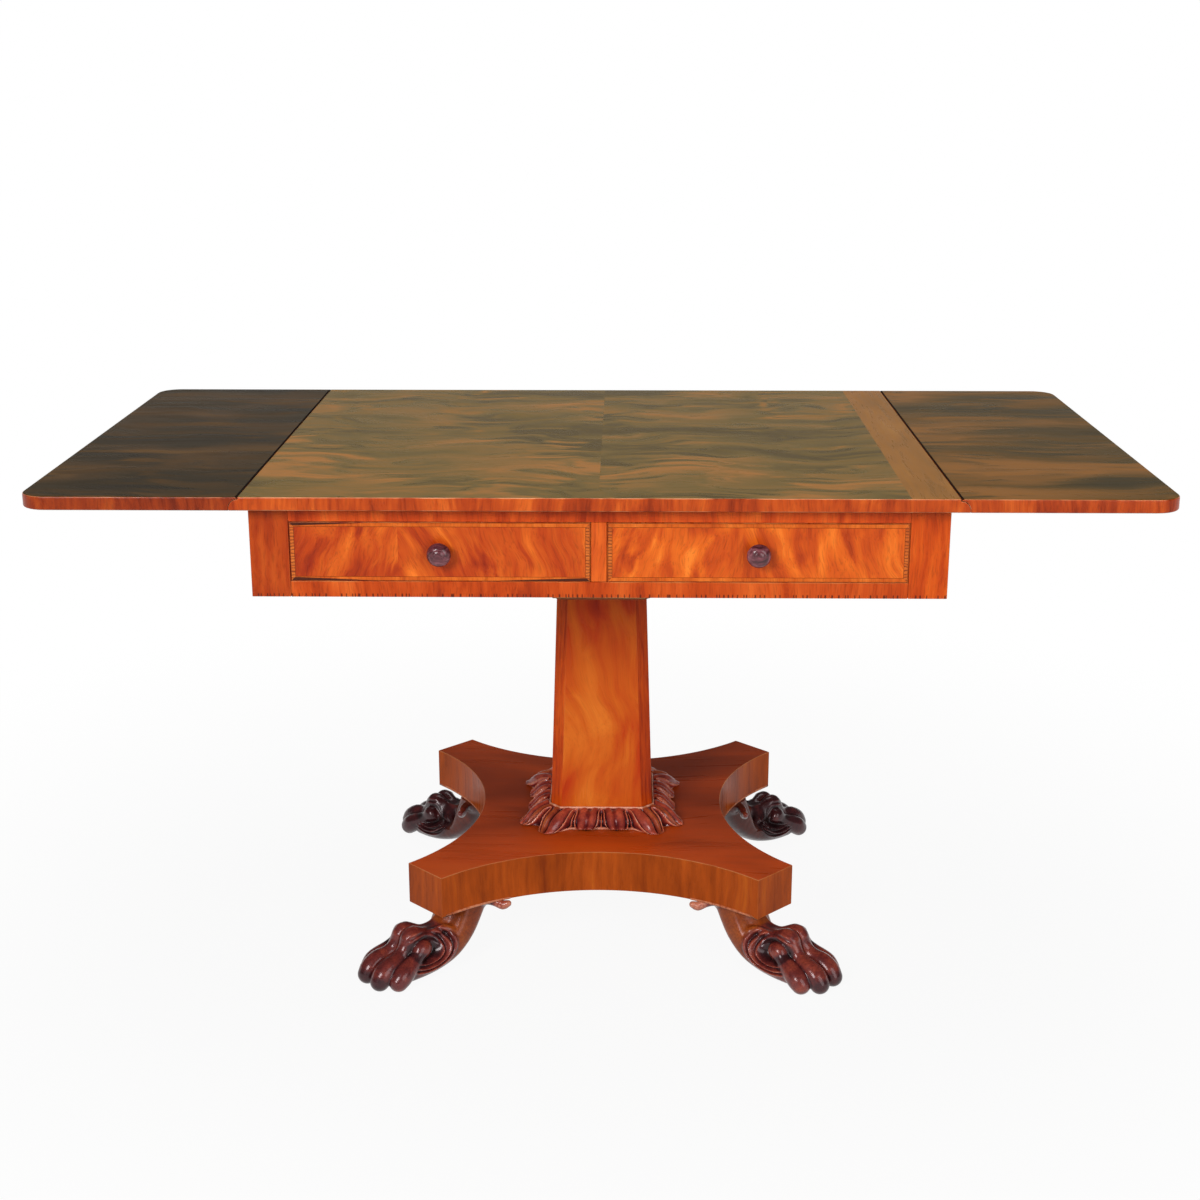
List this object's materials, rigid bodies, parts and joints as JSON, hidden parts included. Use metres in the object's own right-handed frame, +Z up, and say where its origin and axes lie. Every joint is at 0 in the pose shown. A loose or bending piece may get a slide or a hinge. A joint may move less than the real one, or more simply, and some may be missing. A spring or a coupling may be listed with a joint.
{
  "type": "drop-leaf pedestal table",
  "caption": "Mahogany drop-leaf pedestal table: hinged leaves on fly brackets, frieze drawers with turned knobs, chamfered column, hollow-sided platform and carved paw feet.",
  "frame": {"origin": "on the floor under the middle of the table", "axes": "+X along the table towards the right leaf, +Y away from the drawer front, +Z up"},
  "size_m": [1.456, 0.768, 0.729],
  "materials": {
    "flame_mahogany_top": "french-polished flame mahogany veneer, high gloss",
    "polished_mahogany": "polished mahogany, satin gloss",
    "carved_mahogany": "dark stained carved mahogany, waxed",
    "turned_rosewood": "dark turned hardwood, waxed",
    "raw_cedar": "bare sawn wood, unpolished",
    "carcase_pine": "bare planed carcase wood",
    "hinge_iron": "aged wrought iron"
  },
  "bodies": {
    "frame": {"top_board": "flame_mahogany_top", "hinge_fixed_left_front": "hinge_iron", "hinge_fixed_left_back": "hinge_iron", "hinge_fixed_right_front": "hinge_iron", "hinge_fixed_right_back": "hinge_iron", "hinge_pin_left_front": "hinge_iron", "hinge_pin_left_back": "hinge_iron", "hinge_pin_right_front": "hinge_iron", "hinge_pin_right_back": "hinge_iron", "front_top_rail": "polished_mahogany", "front_bottom_rail": "polished_mahogany", "front_stile_left": "polished_mahogany", "front_stile_right": "polished_mahogany", "drawer_divider": "polished_mahogany", "back_rail": "polished_mahogany", "side_rail_left": "carcase_pine", "side_rail_right": "carcase_pine", "fly_rail_left": "polished_mahogany", "fly_rail_right": "polished_mahogany", "fly_pin_left_front": "hinge_iron", "fly_pin_left_back": "hinge_iron", "fly_pin_right_front": "hinge_iron", "fly_pin_right_back": "hinge_iron", "drawer_runner_left": "carcase_pine", "drawer_runner_right": "carcase_pine", "drawer_runner_centre": "carcase_pine", "top_bearer": "carcase_pine", "column_cap": "polished_mahogany", "column": "polished_mahogany", "leaf_collar": "carved_mahogany", "platform": "polished_mahogany", "leg_front_left": "carved_mahogany", "leg_front_right": "carved_mahogany", "leg_back_left": "carved_mahogany", "leg_back_right": "carved_mahogany"},
    "leaf_left": {"leaf_left": "flame_mahogany_top", "hinge_moving_left_front": "hinge_iron", "hinge_moving_left_back": "hinge_iron"},
    "leaf_right": {"leaf_right": "flame_mahogany_top", "hinge_moving_right_front": "hinge_iron", "hinge_moving_right_back": "hinge_iron"},
    "fly_left_front": {"fly_left_front": "raw_cedar"},
    "fly_left_back": {"fly_left_back": "raw_cedar"},
    "fly_right_front": {"fly_right_front": "raw_cedar"},
    "fly_right_back": {"fly_right_back": "raw_cedar"},
    "drawer_left": {"drawer_left_front": "polished_mahogany", "drawer_left_inner_side": "carcase_pine", "drawer_left_outer_side": "carcase_pine", "drawer_left_back": "carcase_pine", "drawer_left_bottom": "carcase_pine", "drawer_left_knob": "turned_rosewood"},
    "drawer_right": {"drawer_right_front": "polished_mahogany", "drawer_right_inner_side": "carcase_pine", "drawer_right_outer_side": "carcase_pine", "drawer_right_back": "carcase_pine", "drawer_right_bottom": "carcase_pine", "drawer_right_knob": "turned_rosewood"}
  },
  "joints": [
    {"name": "leaf_left_hinge", "type": "hinge", "parent": "frame", "child": "leaf_left", "pos_m": [-0.45, 0, 0.714], "axis": [0, 1, 0], "range_deg": [-90, 0]},
    {"name": "leaf_right_hinge", "type": "hinge", "parent": "frame", "child": "leaf_right", "pos_m": [0.45, 0, 0.714], "axis": [0, -1, 0], "range_deg": [-90, 0]},
    {"name": "fly_left_front_pivot", "type": "hinge", "parent": "frame", "child": "fly_left_front", "pos_m": [-0.433, -0.3024, 0.6407], "axis": [0, 0, 1], "range_deg": [0, 90]},
    {"name": "fly_left_back_pivot", "type": "hinge", "parent": "frame", "child": "fly_left_back", "pos_m": [-0.433, 0.3024, 0.6407], "axis": [0, 0, -1], "range_deg": [0, 90]},
    {"name": "fly_right_front_pivot", "type": "hinge", "parent": "frame", "child": "fly_right_front", "pos_m": [0.433, -0.3024, 0.6407], "axis": [0, 0, -1], "range_deg": [0, 90]},
    {"name": "fly_right_back_pivot", "type": "hinge", "parent": "frame", "child": "fly_right_back", "pos_m": [0.433, 0.3024, 0.6407], "axis": [0, 0, 1], "range_deg": [0, 90]},
    {"name": "drawer_left_slide", "type": "slide", "parent": "frame", "child": "drawer_left", "axis": [0, -1, 0], "range_m": [0, 0.32]},
    {"name": "drawer_right_slide", "type": "slide", "parent": "frame", "child": "drawer_right", "axis": [0, -1, 0], "range_m": [0, 0.32]}
  ]
}
